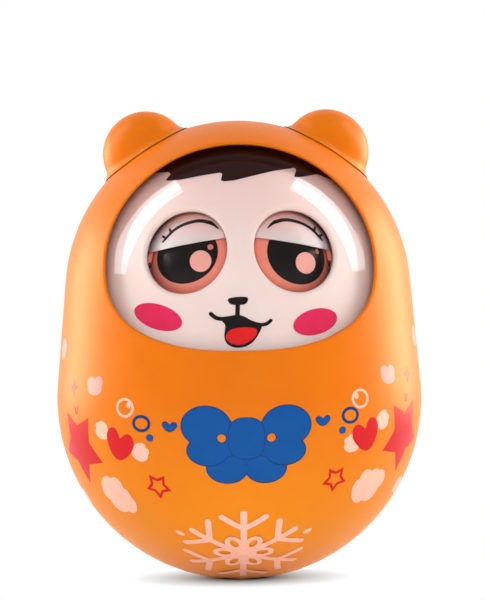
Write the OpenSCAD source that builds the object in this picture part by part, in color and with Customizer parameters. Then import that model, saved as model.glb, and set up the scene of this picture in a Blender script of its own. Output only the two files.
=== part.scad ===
// Roly poly toy: an egg-shaped casing with a heavy foot and two ears, a face behind a clear window,
// eyelids that a pendulum keeps level while the egg rocks, and a chime in the belly.
// The origin is the centre of the foot, +Z is up and the face looks towards -Y. Sizes are in mm.

/* [Casing] */
// Radius of the round belly
belly_r = 60; // [57:0.5:63]
// Radius of the round crown
crown_r = 57; // [55:0.5:59]
// Height of the crown above the foot
crown_top = 150.5; // [146:0.5:155]
// Radius of the flat foot
foot_r = 9; // [7:0.5:12]
// Wall of the two shells
wall = 2.4; // [2:0.1:3]
// Thickness of the locating tongue along the seam
tongue_t = 1.2; // [1:0.1:1.6]
// Reach of the locating tongue into the rear shell
tongue_reach = 2; // [1:0.5:3]

/* [Face opening] */
// Half of the opening's width, as a share of the crown's radius
face_half_share = 0.7456; // [0.7:0.0002:0.77]
// Rise of the opening's widest line over the crown's centre, as a share of the crown's radius
face_rise_share = 0.149; // [0.12:0.001:0.18]
// Reach of the opening above its widest line, as a share of the crown's radius
face_up_share = 0.674; // [0.64:0.001:0.7]
// Reach of the opening below its widest line, as a share of the crown's radius
face_down_share = 0.4736; // [0.44:0.0002:0.5]
// Squareness of the opening's lower corners
face_square = 2.5; // [2:0.1:3]

/* [Window and face plate] */
// Thickness of the clear window
window_t = 1.8; // [1.4:0.1:2.2]
// Lap of the window behind the opening's edge
window_lap = 3; // [2:0.5:4]
// Room between the window and the printed face
print_gap = 0.6; // [0.4:0.1:1]
// Thickness of the face plate
plate_t = 1.8; // [1.4:0.1:2.2]
// Lap of the face plate behind the opening's edge
plate_lap = 2; // [1:0.5:3]
// Thickness of the screw lugs on the face plate
lug_t = 2.4; // [2:0.1:3]
// Distance of a lug's screw outside the opening's edge, as a share of the crown's radius
lug_out_share = 0.1052; // [0.096:0.0002:0.114]
// Height of the front shell's bosses under the lugs
lug_boss_h = 4; // [3:0.5:5]

/* [Eyes] */
// Distance of an eye's centre from the middle of the face, as a share of the crown's radius
eye_x_share = 0.288; // [0.27:0.001:0.3]
// Rise of the eyes over the crown's centre, as a share of the crown's radius
eye_rise_share = 0.214; // [0.18:0.001:0.25]
// Distance of an eye hole's centre from the middle of the face, as a share of the crown's radius
hole_x_share = 0.312; // [0.3:0.001:0.32]
// Rise of the eye holes over the crown's centre, as a share of the crown's radius
hole_rise_share = 0.23; // [0.2:0.001:0.25]
// Diameter of the eye holes in the face plate, as a share of the crown's radius
eye_hole_share = 0.47; // [0.43:0.001:0.48]
// Outer radius of the round eyelids, as a share of the crown's radius
lid_share = 0.351; // [0.34:0.001:0.36]
// Thickness of the eyelids
lid_t = 1.2; // [1:0.1:1.4]
// Room between an eyelid and the window
lid_room = 0.65; // [0.5:0.05:1]
// Room between an eyelid and the eyeball under it
ball_room = 0.4; // [0.3:0.05:0.6]
// Thickness of the hollow eyeballs
ball_t = 2; // [1.5:0.1:2.5]
// Rise of the eyelid's lower edge over the shaft, as a share of the eyelid's radius
lid_edge_share = 0.39; // [0.3:0.01:0.45]
// Angle of the eyelid's lower edge above the level line, seen from the side
lid_edge_angle = 2; // [0:1:8]
// Slant of the eyelid's lower edge, seen from the front
lid_slant = 9; // [0:1:12]
// Angle of the eyelid's sides at the hubs above the level line, seen from the side
lid_side_angle = 21; // [15:1:30]
// Angle of the eyelid's rear edge, from the front over the top
lid_back_angle = 113; // [106:1:120]

/* [Eyelid drive] */
// Diameter of the eyelid shaft
shaft_d = 2.5; // [2:0.1:3]
// Diameter of the hubs on the shaft
hub_d = 7; // [6:0.1:8]
// Length from the shaft to the middle of the pendulum weight
pendulum_len = 25; // [24:0.5:27]
// Thickness of the pendulum arm
pendulum_t = 2.4; // [2:0.1:2.8]
// Width of the pendulum arm
pendulum_w = 6; // [5:0.5:7]
// Backward lean of the pendulum that balances the lids
pendulum_lean = 3.7; // [0:0.1:10]
// Diameter of the pendulum weight
weight_d = 12; // [10:0.5:12.5]
// Height of the pendulum weight
weight_h = 11; // [9:0.5:12]
// Diameter of the peg that carries the weight
peg_d = 3; // [2.4:0.1:3.6]
// Thickness of the eye bracket's plates
bracket_t = 3; // [2.5:0.1:3.5]
// Height of the eye bracket's bars
bracket_h = 9; // [8:0.5:10]
// Distance of the bracket's screws above and below the shaft
bracket_screw_z = 12; // [11.5:0.5:12.5]

/* [Ears] */
// Radius of an ear seen from the front, as a share of the crown's radius
ear_share = 0.249; // [0.22:0.001:0.28]
// Half of an ear's depth, as a share of its radius
ear_depth_share = 0.845; // [0.7:0.005:0.9]
// Angle of the ears above the level line through the crown's centre
ear_angle = 57.3; // [55:0.1:60]
// Depth of an ear's centre under the crown's surface, as a share of the crown's radius
ear_sink_share = 0.035; // [0.02:0.001:0.06]
// Diameter of the neck that passes through the seam
neck_d = 10; // [8:0.5:12]
// Diameter of the flange inside the shells
ear_flange_d = 16; // [14:0.5:18]
// Thickness of that flange
ear_flange_t = 2; // [1.5:0.1:2.5]

/* [Ballast] */
// Height of the ballast's flat top
ballast_top = 17; // [15:0.5:19]
// Distance of the holding ribs from the middle
rib_x = 18; // [15:0.5:22]
// Thickness of the holding ribs
rib_t = 2; // [1.6:0.1:2.6]
// Height of the holding ribs
rib_h = 12; // [8:0.5:16]
// Distance from the middle at which the ribs begin
rib_start = 26; // [25:0.5:28]

/* [Chime] */
// Diameter of the chime's base
chime_d = 48; // [46:0.5:50]
// Thickness of the chime's base
chime_t = 3; // [2.5:0.1:3.5]
// Diameter of the chime rods
rod_d = 3.5; // [3:0.1:4]
// Length of the longest rod
rod_len = 32; // [30:0.5:34]
// Step in length from rod to rod
rod_step = 2; // [1:0.1:2.5]
// Distance of the rods from the middle, left and right
rod_x = 4.5; // [4:0.1:5]
// Distance of the rods from the middle, front and back
rod_y = 14.6; // [14:0.1:15.5]
// Height of the striker's pin above the foot
pin_z = 62; // [60:0.5:63]
// Diameter of the striker's pin
pin_d = 2.2; // [1.8:0.1:2.6]
// Length from the pin to the middle of the striker's ball
striker_len = 26; // [25:0.5:27]
// Diameter of the striker's ball
striker_d = 12; // [10:0.5:12.5]
// Diameter of the striker's stem
stem_d = 2.6; // [2.2:0.1:3]
// Thickness of the bridge's legs and feet
bridge_t = 2.4; // [2:0.1:3]
// Width of the bridge
bridge_w = 8; // [7:0.5:9]
// Distance of the chime's screws from the middle
chime_screw_r = 19; // [18.5:0.5:19.5]

/* [Shell screws] */
// Shank diameter of the screws that close the shells
shell_screw_d = 3; // [2.6:0.1:3.4]
// Shank length of those screws
shell_screw_len = 18; // [16:0.5:19]
// Depth of the front bosses
boss_len = 14; // [13:0.5:15]
// Diameter of the bosses
boss_d = 7.2; // [6.6:0.1:8]
// Height of the screw's seat behind the seam
seat_y = 8; // [7:0.5:9]
// Diameter of the screw wells in the rear shell
well_d = 7.6; // [7:0.1:8.4]
// Wall around the wells
well_wall = 1.6; // [1.2:0.1:2]
// Depth of the upper bosses under the crown's surface, as a share of the crown's radius
boss_up_share = 0.2684; // [0.255:0.0002:0.28]
// Angle of the upper bosses above the crown's centre
boss_up_angle = 10; // [6:1:12]
// Depth of the lower bosses under the belly's surface
boss_low_depth = 11; // [10:0.1:13]
// Angle of the lower bosses below the belly's centre
boss_low_angle = 26; // [20:1:30]
// Length of the plugs that cover the wells
plug_len = 4; // [3:0.5:5]

/* [Small screws] */
// Shank diameter of the small screws
small_screw_d = 2.2; // [1.8:0.1:2.4]
// Shank length of the small screws
small_screw_len = 7; // [6:0.5:8]
// Diameter of the posts that they go into
post_d = 6; // [5.4:0.1:6.4]

/* [Clearances] */
// Gap between pieces that are fixed together
fit_gap = 0.15; // [0.1:0.05:0.2]
// Radial gap of a pin in its bearing
run_gap = 0.05; // [0.03:0.01:0.08]
// Radial gap of a screw or peg that is pressed in
press_gap = 0.02; // [0.01:0.01:0.04]
// Side gap beside a moving piece
side_gap = 0.8; // [0.5:0.1:1]

/* [Hidden] */
$fn = 96;

// A length that reaches past the whole toy
reach = 2 * (crown_top + belly_r);
sides = [-1, 1];

// The egg: two spheres joined by the cone that touches both. The cone's ends lie a hair inside them.
belly_z = sqrt(belly_r * belly_r - foot_r * foot_r);
crown_z = crown_top - crown_r;
side_lean = asin((belly_r - crown_r) / (crown_z - belly_z));
cone_sink = 0.02;
function side_point(r, z) = [(r - cone_sink) * cos(side_lean), z + (r - cone_sink) * sin(side_lean)];
function flip(p) = [-p[0], p[1]];

// Radius of the egg at a height, a distance under its surface
function side_r(z, inset) =
    (belly_r - inset - (z - belly_z) * sin(side_lean)) / cos(side_lean);
function egg_r(z, inset) =
    z > side_point(crown_r - inset, crown_z)[1] ? sqrt(pow(crown_r - inset, 2) - pow(z - crown_z, 2)) :
    z < side_point(belly_r - inset, belly_z)[1] ? sqrt(pow(belly_r - inset, 2) - pow(z - belly_z, 2)) :
    side_r(z, inset);
// How far in front of the middle the egg's surface lies
function egg_front(x, z, inset) = -sqrt(pow(egg_r(z, inset), 2) - x * x);

// Sizes of the head that follow the crown
face_half_w = face_half_share * crown_r;
face_z = crown_z + face_rise_share * crown_r;
face_up = face_up_share * crown_r;
face_down = face_down_share * crown_r;
eye_x = eye_x_share * crown_r;
eye_z = crown_z + eye_rise_share * crown_r;
hole_x = hole_x_share * crown_r;
hole_rise = hole_rise_share * crown_r;
eye_hole_d = eye_hole_share * crown_r;
lid_r = lid_share * crown_r;
lid_edge_rise = lid_edge_share * lid_r;
ear_r = ear_share * crown_r;
ear_half_depth = ear_depth_share * ear_r;
ear_line_len = crown_r - ear_sink_share * crown_r;
ear_x = ear_line_len * cos(ear_angle);
ear_z = crown_z + ear_line_len * sin(ear_angle);
boss_up_r = crown_r - boss_up_share * crown_r;
lug_out = lug_out_share * crown_r;

// Points along the face opening, grown outwards by a margin: an ellipse above, a squarer curve below
face_step = 6;
function curve(t, power) = sign(t) * pow(abs(t), 2 / power);
function face_point(angle, grow) = let (low = sin(angle) < 0, power = low ? face_square : 2) [
    (face_half_w + grow) * curve(cos(angle), power),
    face_z + ((low ? face_down : face_up) + grow) * curve(sin(angle), power)
];

// Layers behind the opening, as depths under the egg's surface
window_front = wall + fit_gap;
window_back = window_front + window_t;
plate_front = window_back + print_gap;
plate_back = plate_front + plate_t;
plate_mid = (plate_front + plate_back) / 2;

// The eyelids turn about one level shaft; each eye's centre lies on a line from the crown's
// centre through its place on the face
eye_r = crown_r - plate_front;
eye_y = -sqrt(eye_r * eye_r - eye_x * eye_x - pow(eye_z - crown_z, 2));
eye_line = [eye_x, eye_y, eye_z - crown_z] / eye_r;
hole_y = -sqrt(eye_r * eye_r - hole_x * hole_x - hole_rise * hole_rise);
hole_line = [hole_x, hole_y, hole_rise] / eye_r;
lid_centre = (crown_r - window_back - lid_room - lid_r) * eye_line;
lid_x = lid_centre[0];
shaft_y = lid_centre[1];
shaft_z = crown_z + lid_centre[2];
shaft_r = shaft_d / 2;
ball_r = lid_r - lid_t - ball_room;
// Gaps between the pendulum's hub, a lid's side wall and the eyeball beside it
hub_gap = 0.3;
ball_side_gap = 0.5;
lid_inner_x = pendulum_t / 2 + hub_gap;
ball_inner_x = lid_inner_x + lid_t + ball_side_gap;
// Room in front of the shaft, where the eyeballs end
shaft_room = 2.5;
ball_back = shaft_r + shaft_room;
// Reach of a lid's outer hub beyond the lid and into it
hub_reach = 1;
hub_root = 0.95 * lid_t;
// Room in front of the hubs, where a lid's sides begin
lid_side_room = 2;
lid_outer_x = lid_x + lid_r + hub_reach;

// Eyeball feet: width, thickness and height, and their place as parts of the ball's radius,
// forwards and down
foot_tab = [8, 2, 9];
tab_forward = 0.55;
tab_down = 0.76;
// Room between the swinging weight and a foot, and a screw's distance from the foot's lower end
weight_room = 2;
tab_edge = 3;
tab_x = weight_d / 2 + weight_room + foot_tab[0] / 2;
tab_y = shaft_y - tab_forward * ball_r;
tab_top = shaft_z - tab_down * ball_r;
tab_screw_z = tab_top - foot_tab[2] + tab_edge;
eyeball_post_d = 5.6;

// Eye bracket: two arms with the bearings, a bar behind the lids, and straps that rest on the plate's posts
arm_in = lid_outer_x + side_gap;
arm_out = arm_in + bracket_t;
bar_room = 1.3;
bar_y = shaft_y + lid_r + bar_room;
strap_t = 2.4;
strap_step = 6;
strap_edge = 1;
strap_w = post_d + 2 * strap_edge;
// How far a post tucks in behind the arm
post_tuck = 0.7;
bracket_seat_y = bar_y - strap_step;
bracket_screw_x = arm_out + post_d / 2 - post_tuck;

// Screws: shank radii, then the diameter and height of the heads
shell_screw_r = shell_screw_d / 2;
small_screw_r = small_screw_d / 2;
shell_head = [shell_screw_d * 2.1, shell_screw_d * 0.75];
small_head = [small_screw_d * 2, small_screw_d * 0.7];
boss_up = [boss_up_r * cos(boss_up_angle), crown_z + boss_up_r * sin(boss_up_angle)];
boss_low = [(belly_r - boss_low_depth) * cos(boss_low_angle),
    belly_z - (belly_r - boss_low_depth) * sin(boss_low_angle)];
bosses = [for (s = sides, p = [boss_up, boss_low]) [s * p[0], p[1]]];
pilot_spare = 1;

// Face lugs: their angles round the opening, then their screws' places
lug_angles = [10, -41];
lug_spots = [for (a = lug_angles) face_point(a, lug_out)];
lug_edge = 1;
// Steps between a lug, its thinner arm and the narrower leg
lug_step = 0.3;
lug_r = post_d / 2 + lug_edge;

// Ears: a gap over the crown, a flange under its wall, and a neck that reaches into the ear
ear_gap = 0.2;
ear_flange_r = crown_r - wall - fit_gap;
neck_reach = 4;
tongue_gap = 0.6;

// Chime
chime_z = ballast_top;
chime_top = chime_z + chime_t;
chime_foot_z = chime_top + bridge_t;
// The rods' sockets: wall, height and floor
socket_wall = 1.7;
socket_h = 4;
socket_floor = 1;
socket_d = rod_d + 2 * socket_wall;
rod_bottom = chime_z + socket_floor;
pin_r = pin_d / 2;
// The striker's hub: wall, length and the room above it
hub_wall = 2;
striker_hub_l = 6.4;
hub_room = 3;
striker_hub_d = pin_d + 2 * hub_wall;
hanger_in = striker_hub_l / 2 + side_gap;
bridge_top = pin_z + striker_hub_d / 2 + hub_room;
// Depth of the chime's screws in the ballast
screw_bite = 5;
chime_screw_len = bridge_t + chime_t + screw_bite;
ball_z = pin_z - striker_len;

// Shared shapes

module egg_outline(inset) {
    belly_point = side_point(belly_r - inset, belly_z);
    crown_point = side_point(crown_r - inset, crown_z);
    translate([0, belly_z]) circle(belly_r - inset);
    translate([0, crown_z]) circle(crown_r - inset);
    polygon([flip(belly_point), belly_point, crown_point, flip(crown_point)]);
}

module egg(inset) {
    rotate_extrude() intersection() {
        egg_outline(inset);
        translate([0, -reach / 2]) square([reach, 2 * reach]);
    }
}

module egg_layer(outer, inner) {
    difference() {
        egg(outer);
        egg(inner);
    }
}

// Everything in front of the seam, or behind it
module half_space(side) {
    translate([-reach, side < 0 ? -reach : 0, -reach]) cube([2 * reach, reach, 2 * reach]);
}

module under_foot() {
    translate([-reach, -reach, -reach]) cube([2 * reach, 2 * reach, reach]);
}

// A solid from the seam forwards, with the outline of the face opening
module face_prism(grow) {
    points = [for (a = [0 : face_step : 360 - face_step]) face_point(a, grow)];
    rotate([90, 0, 0]) linear_extrude(reach) polygon(points);
}

// A rod along Y that starts at a point and runs forwards or backwards
module along_y(spot, y, side, r, len) {
    translate([spot[0], y, spot[1]]) rotate([side < 0 ? 90 : -90, 0, 0]) cylinder(r = r, h = len);
}

// A rod along X between two places
module along_x(x0, x1, y, z, r) {
    translate([x0, y, z]) rotate([0, 90, 0]) cylinder(r = r, h = x1 - x0);
}

// A pan-head screw that points along +Z, with a cross recess in its head
module screw(shank_r, len, head) {
    recess = [head[0] * 0.6, head[0] * 0.14, head[1] * 0.6];
    difference() {
        union() {
            cylinder(r = shank_r, h = len);
            translate([0, 0, -head[1]]) cylinder(r = head[0] / 2, h = head[1]);
        }
        for (turn = [0, 90])
            translate([0, 0, -head[1]]) rotate(turn)
                translate([-recess[0] / 2, -recess[1] / 2, -1]) cube([recess[0], recess[1], recess[2] + 1]);
    }
}

// A screw that is driven forwards from a seat
module screw_forward(spot, y, shank_r, len, head) {
    translate([spot[0], y, spot[1]]) rotate([90, 0, 0]) screw(shank_r, len, head);
}

// A line from the crown's centre through an eye hole, along +Z of its children
module on_hole_line(side) {
    translate([0, 0, crown_z])
        rotate([0, acos(hole_line[2]), atan2(hole_line[1], side * hole_line[0])]) children();
}

// A line from the crown's centre through an ear's centre, along +X of its children
module on_ear_line(side) {
    translate([0, 0, crown_z]) rotate([0, side > 0 ? -ear_angle : ear_angle - 180, 0]) children();
}

module ear_neck(side, extra) {
    on_ear_line(side) rotate([-90, 0, -90])
        translate([0, 0, ear_flange_r - ear_flange_t / 2])
            cylinder(r = neck_d / 2 + extra, h = 2 * wall + neck_reach);
}

module ear_flange_space(side, extra) {
    on_ear_line(side) rotate([0, 90, 0])
        translate([0, 0, crown_r / 2]) cylinder(r = ear_flange_d / 2 + extra, h = crown_r);
}

// A rib that holds the ballast down from one shell
module ballast_rib(side, turn) {
    intersection() {
        egg(wall / 2);
        translate([side * rib_x - rib_t / 2, turn < 0 ? -reach : rib_start, ballast_top + fit_gap])
            cube([rib_t, reach - (turn < 0 ? rib_start : 0), rib_h]);
    }
}

// Shells

// The tongue follows the inside of the wall across the seam, and is rooted in the front shell
module tongue() {
    root = 3;
    difference() {
        union() {
            rotate([90, 0, 0]) linear_extrude(root) difference() {
                egg_outline(wall / 2);
                egg_outline(wall + fit_gap + tongue_t);
            }
            translate([0, tongue_reach, 0]) rotate([90, 0, 0]) linear_extrude(tongue_reach + root / 2)
                difference() {
                    egg_outline(wall + fit_gap);
                    egg_outline(wall + fit_gap + tongue_t);
                }
        }
        translate([-reach, -reach, ballast_top + fit_gap + rib_h - reach])
            cube([2 * reach, 2 * reach, reach]);
        for (s = sides) ear_flange_space(s, tongue_gap);
    }
}

// A boss on the front shell for one closing screw, with a rib to the side wall
module front_boss(spot) {
    out = sign(spot[0]);
    along_y(spot, 0, -1, boss_d / 2, boss_len);
    intersection() {
        egg(wall / 2);
        translate([out > 0 ? spot[0] : -reach, -boss_len, spot[1] - rib_t / 2])
            cube([reach - abs(spot[0]), boss_len, rib_t]);
    }
}

module lug_boss(side, spot) {
    wall_y = egg_front(spot[0], spot[1], wall);
    intersection() {
        egg(wall / 2);
        along_y([side * spot[0], spot[1]], wall_y + lug_boss_h, -1, post_d / 2, reach);
    }
}

module front_shell() {
    color("darkorange") difference() {
        union() {
            difference() {
                intersection() {
                    egg_layer(0, wall);
                    half_space(-1);
                }
                face_prism(0);
            }
            tongue();
            for (b = bosses) front_boss(b);
            for (s = sides, p = lug_spots) lug_boss(s, p);
            for (s = sides) ballast_rib(s, -1);
        }
        under_foot();
        for (s = sides) ear_neck(s, fit_gap);
        for (b = bosses)
            along_y(b, 1, -1, shell_screw_r + press_gap, shell_screw_len - seat_y + pilot_spare + 1);
        for (s = sides, p = lug_spots)
            along_y([s * p[0], p[1]], egg_front(p[0], p[1], wall) + lug_boss_h + 1, -1,
                small_screw_r + press_gap, small_screw_len - lug_t + pilot_spare / 2 + 1);
    }
}

// A tube behind the seam that carries one closing screw and the well above its head
module rear_boss(spot) {
    along_y(spot, 0, 1, boss_d / 2, seat_y);
    intersection() {
        egg(wall / 2);
        along_y(spot, seat_y - well_wall, 1, well_d / 2 + well_wall, reach);
    }
}

module rear_shell() {
    color("darkorange") difference() {
        union() {
            intersection() {
                egg_layer(0, wall);
                half_space(1);
            }
            for (b = bosses) rear_boss(b);
            for (s = sides) ballast_rib(s, 1);
        }
        under_foot();
        for (s = sides) ear_neck(s, fit_gap);
        for (b = bosses) {
            along_y(b, -1, 1, shell_screw_r + fit_gap, seat_y + 2);
            along_y(b, seat_y, 1, well_d / 2, reach);
        }
    }
}

module shell_screws() {
    color("silver") for (b = bosses) screw_forward(b, seat_y, shell_screw_r, shell_screw_len, shell_head);
}

module screw_plugs() {
    color("orange") for (b = bosses) intersection() {
        egg_layer(fit_gap, plug_len);
        along_y(b, seat_y, 1, well_d / 2 - fit_gap, reach);
    }
}

// Ears

module ear_pillow() {
    flat = ear_r - ear_half_depth;
    rotate([90, 0, 0]) rotate_extrude() {
        intersection() {
            translate([flat, 0]) circle(ear_half_depth);
            translate([flat, -ear_r]) square([ear_r, 2 * ear_r]);
        }
        translate([0, -ear_half_depth]) square([flat, 2 * ear_half_depth]);
    }
}

module left_ear() {
    color("darkorange") {
        difference() {
            translate([-ear_x, 0, ear_z]) ear_pillow();
            egg(-ear_gap);
        }
        ear_neck(-1, 0);
        intersection() {
            translate([0, 0, crown_z]) difference() {
                sphere(ear_flange_r);
                sphere(ear_flange_r - ear_flange_t);
            }
            ear_flange_space(-1, 0);
        }
    }
}

module right_ear() {
    mirror([1, 0, 0]) left_ear();
}

// Face

module face_window() {
    color("white", 0.3) intersection() {
        egg_layer(window_front, window_back);
        face_prism(window_lap);
    }
}

// A post on the back of the face plate that ends at a given place
module plate_post(spot, y, d) {
    intersection() {
        egg(plate_mid);
        along_y(spot, y, -1, d / 2, reach);
    }
}

// A screw lug at the edge of the face plate, with an arm and a leg that join it to the plate
module face_lug(side, spot) {
    seat = egg_front(spot[0], spot[1], wall) + lug_boss_h;
    turn = atan2(spot[1] - face_z, spot[0]);
    arm_l = lug_out + lug_r;
    arm_w = 2 * (lug_r - lug_edge);
    leg_w = arm_w - 2 * lug_step;
    leg_l = arm_l - lug_step - post_d / 2 - side_gap;
    mirror([side < 0 ? 1 : 0, 0, 0]) {
        intersection() {
            egg(wall + fit_gap);
            union() {
                along_y(spot, seat + lug_t, -1, lug_r, lug_t);
                translate([spot[0], seat + lug_step, spot[1]]) rotate([0, -turn, 0])
                    translate([-arm_l, 0, -arm_w / 2]) cube([arm_l, lug_t - 2 * lug_step, arm_w]);
            }
        }
        intersection() {
            egg(plate_mid);
            translate([spot[0], seat + lug_t / 2, spot[1]]) rotate([0, -turn, 0])
                translate([lug_step - arm_l, -reach, -leg_w / 2]) cube([leg_l, reach, leg_w]);
        }
    }
}

bracket_spots = [for (s = sides, t = sides) [s * bracket_screw_x, shaft_z + t * bracket_screw_z]];
eyeball_spots = [for (s = sides) [s * tab_x, tab_screw_z]];

module face_plate() {
    color("mistyrose") difference() {
        union() {
            intersection() {
                egg_layer(plate_front, plate_back);
                face_prism(plate_lap);
            }
            for (p = bracket_spots) plate_post(p, bracket_seat_y, post_d);
            for (p = eyeball_spots) plate_post(p, tab_y, eyeball_post_d);
            for (s = sides, p = lug_spots) face_lug(s, p);
        }
        for (s = sides) on_hole_line(s) cylinder(r = eye_hole_d / 2, h = reach);
        for (p = bracket_spots)
            along_y(p, bracket_seat_y + 1, -1, small_screw_r + press_gap,
                small_screw_len - strap_t + pilot_spare + 1);
        for (p = eyeball_spots)
            along_y(p, tab_y + 1, -1, small_screw_r + press_gap,
                small_screw_len - foot_tab[1] + pilot_spare + 1);
        for (s = sides, p = lug_spots)
            along_y([s * p[0], p[1]], 0, -1, small_screw_r + fit_gap, reach);
    }
}

module face_screws() {
    color("silver") for (s = sides, p = lug_spots)
        screw_forward([s * p[0], p[1]], egg_front(p[0], p[1], wall) + lug_boss_h + lug_t,
            small_screw_r, small_screw_len, small_head);
}

// Eyes

module eyeball(side) {
    color("salmon") mirror([side < 0 ? 1 : 0, 0, 0]) difference() {
        union() {
            intersection() {
                translate([lid_x, shaft_y, shaft_z]) difference() {
                    sphere(ball_r);
                    sphere(ball_r - ball_t);
                }
                translate([ball_inner_x, shaft_y - ball_back - reach, shaft_z - reach / 2])
                    cube([reach, reach, reach]);
            }
            translate([tab_x - foot_tab[0] / 2, tab_y, tab_top - foot_tab[2]]) cube(foot_tab);
        }
        along_y([tab_x, tab_screw_z], tab_y + foot_tab[1] + 1, -1,
            small_screw_r + fit_gap, foot_tab[1] + 2);
    }
}

module left_eyeball() { eyeball(-1); }

module right_eyeball() { eyeball(1); }

module eyeball_screws() {
    color("silver") for (p = eyeball_spots)
        screw_forward(p, tab_y + foot_tab[1], small_screw_r, small_screw_len, small_head);
}

// All that lies above a plane through the shaft, which rises towards the front and slants sideways
module above_plane(rise, slant) {
    rotate([-rise, 0, 0]) rotate([0, slant, 0])
        translate([-reach, -reach, 0]) cube([2 * reach, 2 * reach, reach]);
}

// What a lid covers: all above its edge in front, and its sides down to the hubs
module lid_cover() {
    difference() {
        union() {
            translate([0, 0, lid_edge_rise]) above_plane(lid_edge_angle, lid_slant);
            intersection() {
                above_plane(lid_side_angle, 0);
                translate([-reach, -hub_d / 2 - lid_side_room, -reach]) cube(2 * reach);
            }
        }
        above_plane(lid_back_angle, 0);
    }
}

module eyelid(side) {
    color("mistyrose") mirror([side < 0 ? 1 : 0, 0, 0]) difference() {
        union() {
            intersection() {
                translate([lid_x, shaft_y, shaft_z]) difference() {
                    sphere(lid_r);
                    difference() {
                        sphere(lid_r - lid_t);
                        translate([-reach - lid_x + lid_inner_x + lid_t, -reach / 2, -reach / 2])
                            cube([reach, reach, reach]);
                    }
                }
                translate([lid_inner_x, -reach / 2, 0]) cube([reach, reach, reach]);
                translate([lid_x, shaft_y, shaft_z]) lid_cover();
            }
            along_x(lid_inner_x, lid_inner_x + 2 * lid_t, shaft_y, shaft_z, hub_d / 2);
            along_x(lid_x + lid_r - hub_root, lid_outer_x, shaft_y, shaft_z, hub_d / 2);
        }
        along_x(0, reach, shaft_y, shaft_z, shaft_r + press_gap);
    }
}

module left_eyelid() { eyelid(-1); }

module right_eyelid() { eyelid(1); }

module eyelid_shaft() {
    color("silver") along_x(-arm_out, arm_out, shaft_y, shaft_z, shaft_r);
}

// Turns the pendulum back about the shaft
module hang() {
    translate([0, shaft_y, shaft_z]) rotate([pendulum_lean, 0, 0]) children();
}

module pendulum_arm() {
    peg_top = weight_h / 2 - pendulum_len;
    color("mistyrose") hang() difference() {
        union() {
            along_x(-pendulum_t / 2, pendulum_t / 2, 0, 0, hub_d / 2);
            translate([-pendulum_t / 2, -pendulum_w / 2, peg_top])
                cube([pendulum_t, pendulum_w, -peg_top]);
            translate([0, 0, -pendulum_len]) cylinder(r = peg_d / 2, h = weight_h / 2);
        }
        along_x(-reach, reach, 0, 0, shaft_r + press_gap);
    }
}

module pendulum_weight() {
    color("dimgray") hang() translate([0, 0, -pendulum_len]) difference() {
        translate([0, 0, -weight_h / 2]) cylinder(r = weight_d / 2, h = weight_h);
        cylinder(r = peg_d / 2 + press_gap, h = reach);
    }
}

module eye_bracket() {
    color("lightgray") difference() {
        union() {
            translate([-arm_out, bar_y, shaft_z - bracket_h / 2]) cube([2 * arm_out, bracket_t, bracket_h]);
            for (s = sides) mirror([s < 0 ? 1 : 0, 0, 0]) {
                translate([arm_in, shaft_y - hub_d / 2, shaft_z - bracket_h / 2])
                    cube([bracket_t, bar_y + bracket_t - shaft_y + hub_d / 2, bracket_h]);
                translate([arm_in, bracket_seat_y, shaft_z - bracket_screw_z - strap_w / 2])
                    cube([bracket_t, strap_t, 2 * bracket_screw_z + strap_w]);
                for (t = sides)
                    translate([arm_in, bracket_seat_y, shaft_z + t * bracket_screw_z - strap_w / 2])
                        cube([bracket_screw_x + post_d / 2 - arm_in, strap_t, strap_w]);
            }
        }
        along_x(-reach, reach, shaft_y, shaft_z, shaft_r + run_gap);
        for (p = bracket_spots) along_y(p, 0, -1, small_screw_r + fit_gap, reach);
    }
}

module bracket_screws() {
    color("silver") for (p = bracket_spots)
        screw_forward(p, bracket_seat_y + strap_t, small_screw_r, small_screw_len, small_head);
}

// Ballast and chime

chime_screw_spots = [for (turn = [0 : 90 : 270]) chime_screw_r * [cos(turn), sin(turn)]];

module ballast() {
    color("dimgray") difference() {
        egg(wall + fit_gap);
        translate([-reach, -reach, ballast_top]) cube([2 * reach, 2 * reach, reach]);
        for (p = chime_screw_spots)
            translate([p[0], p[1], chime_foot_z - chime_screw_len - pilot_spare])
                cylinder(r = small_screw_r + press_gap, h = reach);
    }
}

rod_spots = [for (sx = sides, sy = sides) [sx * rod_x, sy * rod_y]];

module chime_base() {
    color("gainsboro") difference() {
        union() {
            translate([0, 0, chime_z]) cylinder(r = chime_d / 2, h = chime_t);
            for (p = rod_spots)
                translate([p[0], p[1], chime_z]) cylinder(r = socket_d / 2, h = chime_t + socket_h);
            for (p = chime_screw_spots)
                if (abs(p[1]) > 1)
                    translate([p[0], p[1], chime_z]) cylinder(r = post_d / 2, h = chime_t + bridge_t);
        }
        for (p = rod_spots) translate([p[0], p[1], rod_bottom])
            cylinder(r = rod_d / 2 + press_gap, h = reach);
        for (p = chime_screw_spots)
            translate([p[0], p[1], 0]) cylinder(r = small_screw_r + fit_gap, h = reach);
    }
}

module chime_rods() {
    color("silver") for (i = [0 : len(rod_spots) - 1])
        translate([rod_spots[i][0], rod_spots[i][1], rod_bottom])
            cylinder(r = rod_d / 2, h = rod_len - i * rod_step);
}

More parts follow.
